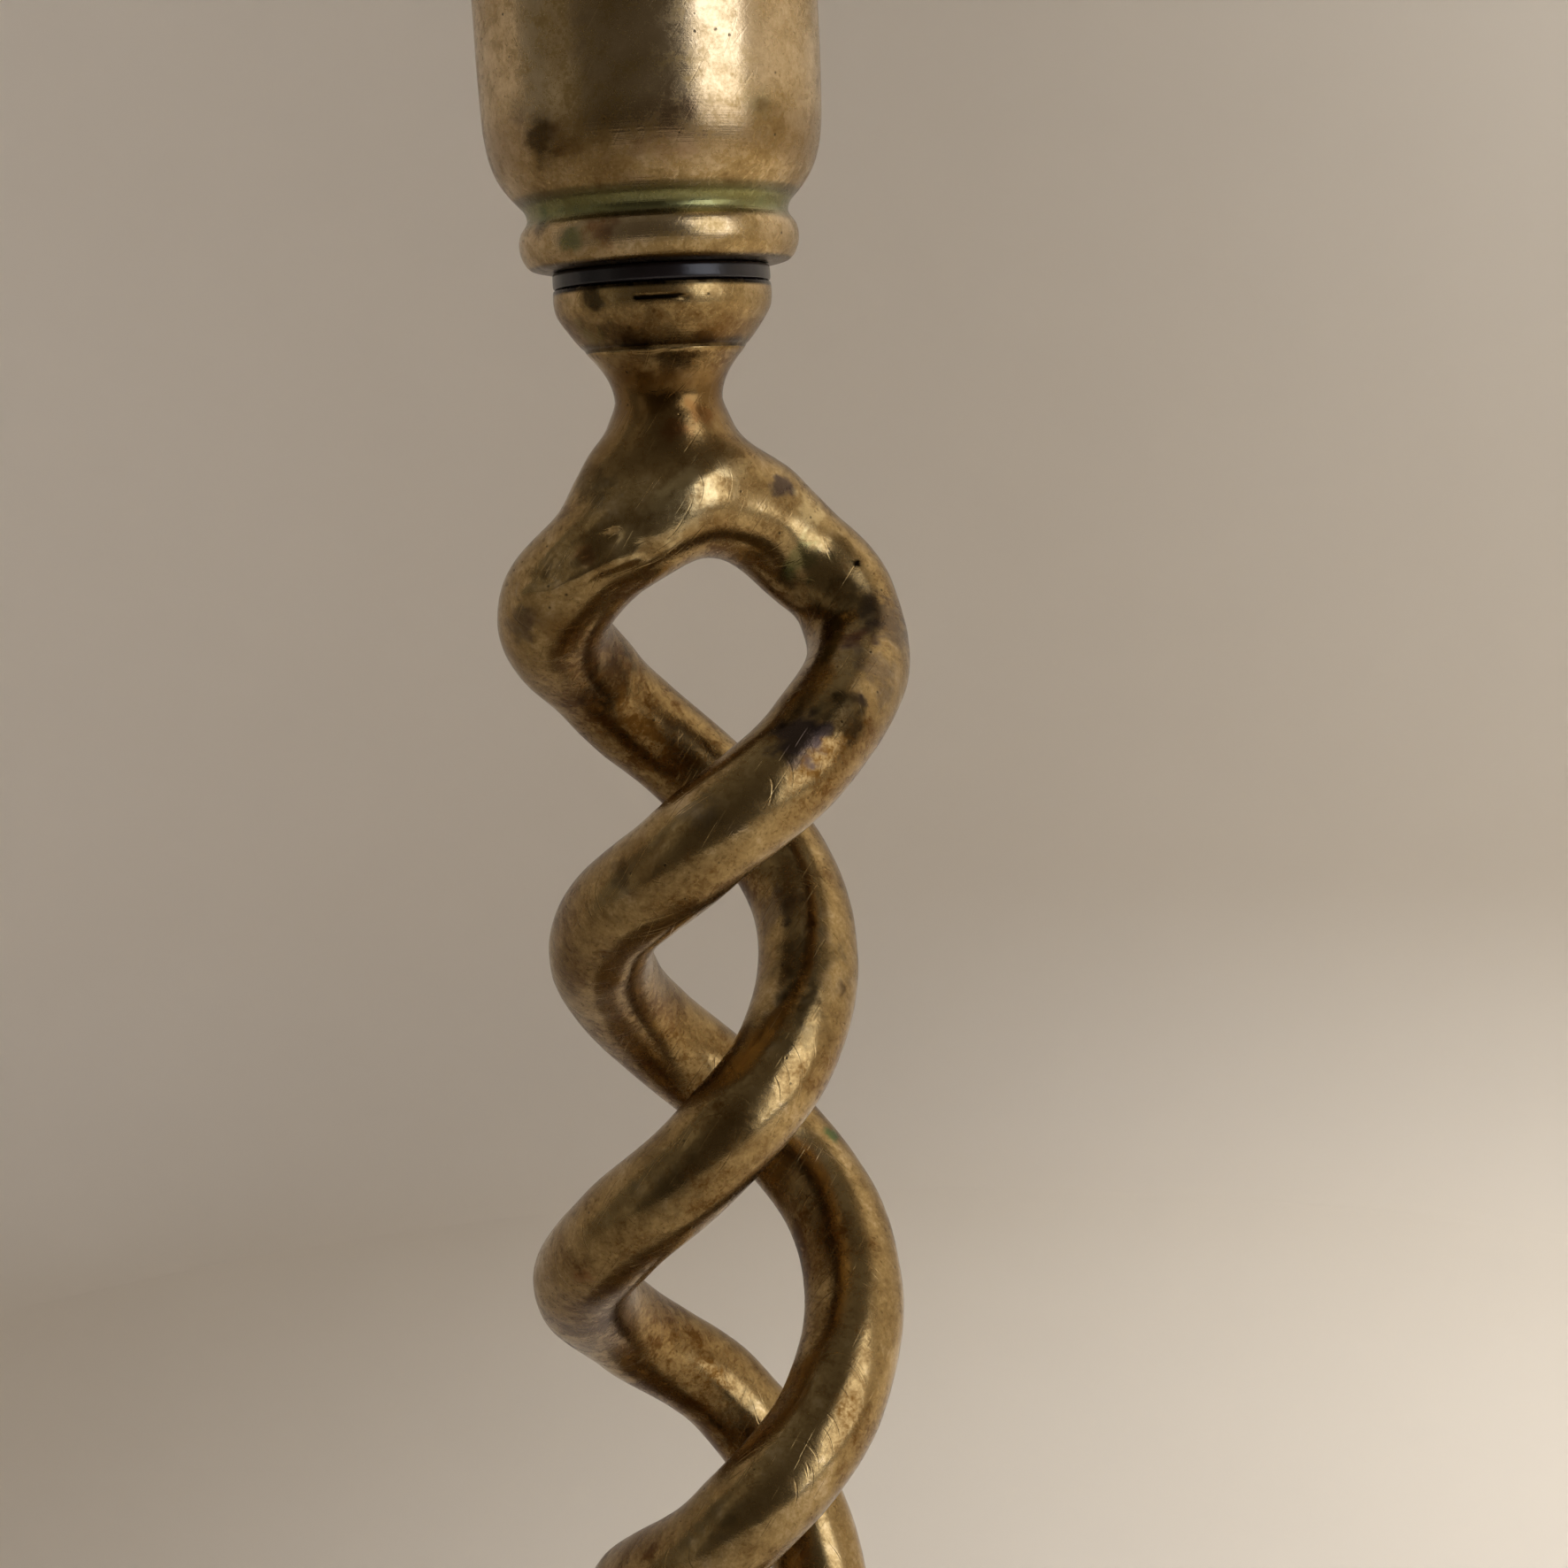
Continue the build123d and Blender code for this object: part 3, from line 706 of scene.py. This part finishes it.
studs = {
    "dark": "#3A2E26", "light": "#77726B", "tones": (0.35, 0.62), "cloud": 2.0, "roughness": (0.6, 0.3),
    "major": 3.98, "minor": 3.25, "pitch": 1.25, "perTurn": 28,
    # the thread's flanks, as rises within one pitch
    "flanks": (0.15, 0.55, 0.7, 1.1),
    "plainEnd": 0.7, "coreExtra": 0.05, "coreAround": 56, "chamfer": 0.5,
    "places": (("cupStud", "cup_stud", 208.4, 222.8), ("footStud", "foot_stud", 15.4, 45.2)),
}


def oiledIron():
    material, tree, shader, place = newMaterial("iron, oiled")
    cloud = addNode(tree, "ShaderNodeTexNoise", {
        "Vector": place, "Scale": 1 / (studs["cloud"] * mm), "Detail": 5.0}).outputs["Fac"]
    ramp = addNode(tree, "ShaderNodeValToRGB", {"Fac": cloud})
    setStops(ramp, list(zip(studs["tones"], (studs["dark"], studs["light"]))))
    tree.links.new(ramp.outputs["Color"], shader.inputs["Base Color"])
    dull, shiny = studs["roughness"]
    rough = addNode(tree, "ShaderNodeMapRange", {"Value": cloud, "To Min": dull, "To Max": shiny})
    tree.links.new(rough.outputs["Result"], shader.inputs["Roughness"])
    shader.inputs["Metallic"].default_value = 1.0
    return material


def cutStud(name, low, high):
    bm = bmesh.new()
    start = low + studs["plainEnd"]
    turns = int((high - low - 2 * studs["plainEnd"]) / studs["pitch"]) - 1
    foot, rise, crest, fall = studs["flanks"]
    major, minor = studs["major"], studs["minor"]
    zig = ((minor, 0), (minor, foot), (major, rise), (major, crest), (minor, fall), (minor, studs["pitch"]))
    verts = [bm.verts.new((radius * mm, 0, (start + up) * mm)) for radius, up in zig]
    edges = [bm.edges.new(pair) for pair in zip(verts, verts[1:])]
    steps = studs["perTurn"] * turns
    bmesh.ops.spin(bm, geom=verts + edges, cent=(0, 0, 0), axis=(0, 0, 1), angle=math.tau * turns,
                   steps=steps, dvec=(0, 0, studs["pitch"] * mm * turns / steps))
    thick = (minor + studs["coreExtra"]) * mm
    core = bmesh.ops.create_cone(bm, cap_ends=True, segments=studs["coreAround"], radius1=thick,
                                 radius2=thick, depth=(high - low) * mm)["verts"]
    bmesh.ops.translate(bm, verts=core, vec=(0, 0, (low + high) / 2 * mm))
    rims = [e for e in bm.edges if e.verts[0] in core and e.verts[1] in core
            and abs(e.verts[0].co.z - e.verts[1].co.z) < sameSpot]
    bmesh.ops.bevel(bm, geom=rims, offset=studs["chamfer"] * mm, affect="EDGES", segments=2, profile=0.5,
                    material=-1)
    return addPiece(name, bm)


iron = oiledIron()
for name, node, low, high in studs["places"]:
    piece = cutStud(name, low, high)
    piece.data.materials.append(iron)
    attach(piece, "stick")
    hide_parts(node)
for node in ("foot_washer", "foot_nut"):
    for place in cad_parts[node].material_slots:
        place.material = iron
print("ironwork done")


# matt pale paper: a round floor, and a wall that curves up behind. The wall's outer side is clear, so that
# it never hides the object. Sizes are in mm, angles in degrees

stage = {"paper": "#E6DED2", "shade": "#C9BEAC", "cloud": 60, "shadeShare": 0.12, "roughness": 0.9,
         "floor": 620, "floorAround": 96, "wall": 430, "curve": 70, "curveSteps": 12, "tall": 900,
         "lift": 0.2, "wallFrom": -25, "wallTurn": 205, "wallSteps": 72, "sharp": 30, "middle": 250}


def palePaper():
    material, tree, shader, place = newMaterial("pale paper")
    fibre = addNode(tree, "ShaderNodeTexNoise", {
        "Vector": place, "Scale": 1 / (stage["cloud"] * mm), "Detail": 3.0}).outputs["Fac"]
    shade = addNode(tree, "ShaderNodeMapRange", {
        "Value": fibre, "To Min": 0.0, "To Max": stage["shadeShare"]}).outputs["Result"]
    tone = addNode(tree, "ShaderNodeMix", {
        "Factor": shade, "A": hexLinear(stage["paper"]), "B": hexLinear(stage["shade"])},
        data_type="RGBA").outputs["Result"]
    tree.links.new(tone, shader.inputs["Base Color"])
    shader.inputs["Roughness"].default_value = stage["roughness"]
    outside = addNode(tree, "ShaderNodeNewGeometry", {}).outputs["Backfacing"]
    clear = addNode(tree, "ShaderNodeBsdfTransparent", {}).outputs["BSDF"]
    both = addNode(tree, "ShaderNodeMixShader", {0: outside, 1: shader.outputs["BSDF"], 2: clear})
    tree.links.new(both.outputs["Shader"], tree.nodes["Material Output"].inputs["Surface"])
    return material


def layPaper():
    bm = bmesh.new()
    bmesh.ops.create_circle(bm, cap_ends=True, segments=stage["floorAround"], radius=stage["floor"] * mm)
    foot, curve, lift = stage["wall"] - stage["curve"], stage["curve"], stage["lift"]
    profile = [(foot, lift)]
    for n in range(1, stage["curveSteps"] + 1):
        angle = math.radians(90 * n / stage["curveSteps"])
        profile.append((foot + curve * math.sin(angle), lift + curve * (1 - math.cos(angle))))
    profile.append((stage["wall"], stage["tall"]))
    start = math.radians(stage["wallFrom"])
    verts = [bm.verts.new((radius * math.cos(start) * mm, radius * math.sin(start) * mm, height * mm))
             for radius, height in profile]
    edges = [bm.edges.new(pair) for pair in zip(verts, verts[1:])]
    bmesh.ops.spin(bm, geom=verts + edges, cent=(0, 0, 0), axis=(0, 0, 1),
                   angle=math.radians(stage["wallTurn"]), steps=stage["wallSteps"])
    bm.normal_update()
    middle = Vector((0, 0, stage["middle"] * mm))
    wrong = [face for face in bm.faces if face.normal.dot(middle - face.calc_center_median()) < 0]
    bmesh.ops.reverse_faces(bm, faces=wrong)
    mesh = bpy.data.meshes.new("paper")
    bm.to_mesh(mesh)
    bm.free()
    mesh.shade_smooth()
    mesh.set_sharp_from_angle(angle=math.radians(stage["sharp"]))
    mesh.materials.append(palePaper())
    addObject("paper", mesh)


layPaper()


# soft light: a broad cool window on the right, a weak one on the left, and lamps over the paper that metal
# doesn't mirror. Each is name, place and size in metres, watts, tint, aim, spread in degrees, mirrored

lamps = (
    ("window", (0.765, -0.38, 0.45), (1.10, 0.88), 8.3, "#EEF2FF", (0, 0, 0.17), 180, True),
    ("side", (-0.59, -0.38, 0.40), (0.25, 0.80), 0.08, "#FFF4E4", (0, 0, 0.20), 180, True),
    ("overPaper", (0.12, 0.16, 0.78), (0.30, 0.30), 1.1, "#FFFFFF", (0.42, 0.14, 0.15), 80, False),
    ("overFloor", (0.36, -0.04, 0.62), (0.25, 0.25), 0.3, "#FFFFFF", (0.26, -0.02, 0), 70, False),
)
for name, spot, size, power, tint, aim, spread, mirrored in lamps:
    data = bpy.data.lights.new(name, "AREA")
    data.shape = "RECTANGLE"
    data.size, data.size_y = size
    data.energy = power
    data.color = hexLinear(tint)[:3]
    data.spread = math.radians(spread)
    lamp = addObject(name, data)
    lamp.location = spot
    lamp.visible_camera = False
    lamp.visible_glossy = mirrored
    lamp.rotation_euler = (Vector(aim) - Vector(spot)).to_track_quat("-Z", "Y").to_euler()

# the room is dim and warm in front and paler behind
roomTones = ((0.04, "#514A40"), (0.2, "#6A645B"), (0.7, "#948F88"))
room = bpy.data.worlds.new("room")
room.use_nodes = True
roomTree = room.node_tree
heading = addNode(roomTree, "ShaderNodeTexCoord", {}).outputs["Generated"]
depth = addNode(roomTree, "ShaderNodeSeparateXYZ", {"Vector": heading}).outputs["Y"]
depth = addNode(roomTree, "ShaderNodeMapRange", {"Value": depth, "From Min": -1.0, "From Max": 1.0})
walls = addNode(roomTree, "ShaderNodeValToRGB", {"Fac": depth.outputs["Result"]})
setStops(walls, roomTones)
roomTree.links.new(walls.outputs["Color"], roomTree.nodes["Background"].inputs["Color"])
bpy.context.scene.world = room
bpy.context.scene.view_settings.view_transform = "Standard"
print("light set")
